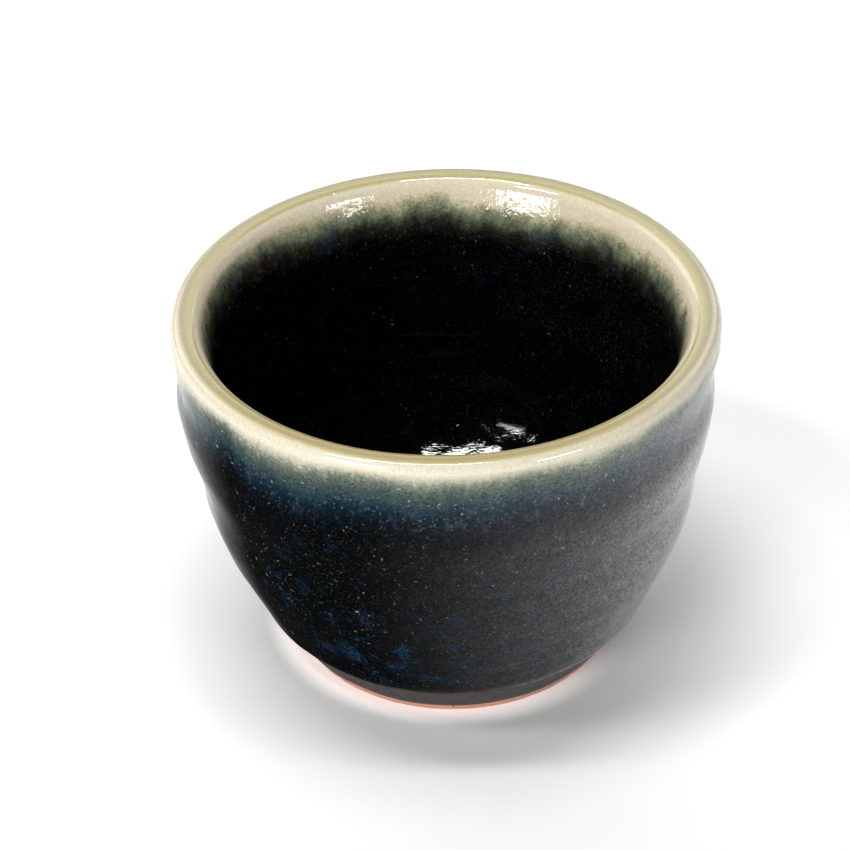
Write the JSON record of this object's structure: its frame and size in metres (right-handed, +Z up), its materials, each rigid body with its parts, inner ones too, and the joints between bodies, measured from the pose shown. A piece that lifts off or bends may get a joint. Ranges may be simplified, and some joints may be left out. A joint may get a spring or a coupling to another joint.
{
  "type": "sake cup",
  "caption": "Small wheel-thrown stoneware sake cup, round and open, on a low foot ring, with dark glaze inside and out and a pale glazed lip.",
  "frame": {"origin": "on the table, at the centre of the foot ring", "axes": "+Z up along the axis that the cup was thrown on; -Y is the side that faces the camera"},
  "size_m": [0.068, 0.068, 0.0463],
  "materials": {
    "bare_clay": "matt fired stoneware, bare clay",
    "foot_clay": "matt fired stoneware, worn where it meets the table",
    "dark_inner_glaze": "glossy black iron glaze",
    "dark_outer_glaze": "glossy black and deep blue glaze with fine pale specks",
    "pale_ash_glaze": "glossy cream to olive ash glaze"
  },
  "bodies": {
    "root": {"clay_body": "bare_clay", "foot_ring": "foot_clay", "inner_glaze": "dark_inner_glaze", "outer_glaze": "dark_outer_glaze", "pale_rim_glaze": "pale_ash_glaze"}
  },
  "joints": []
}
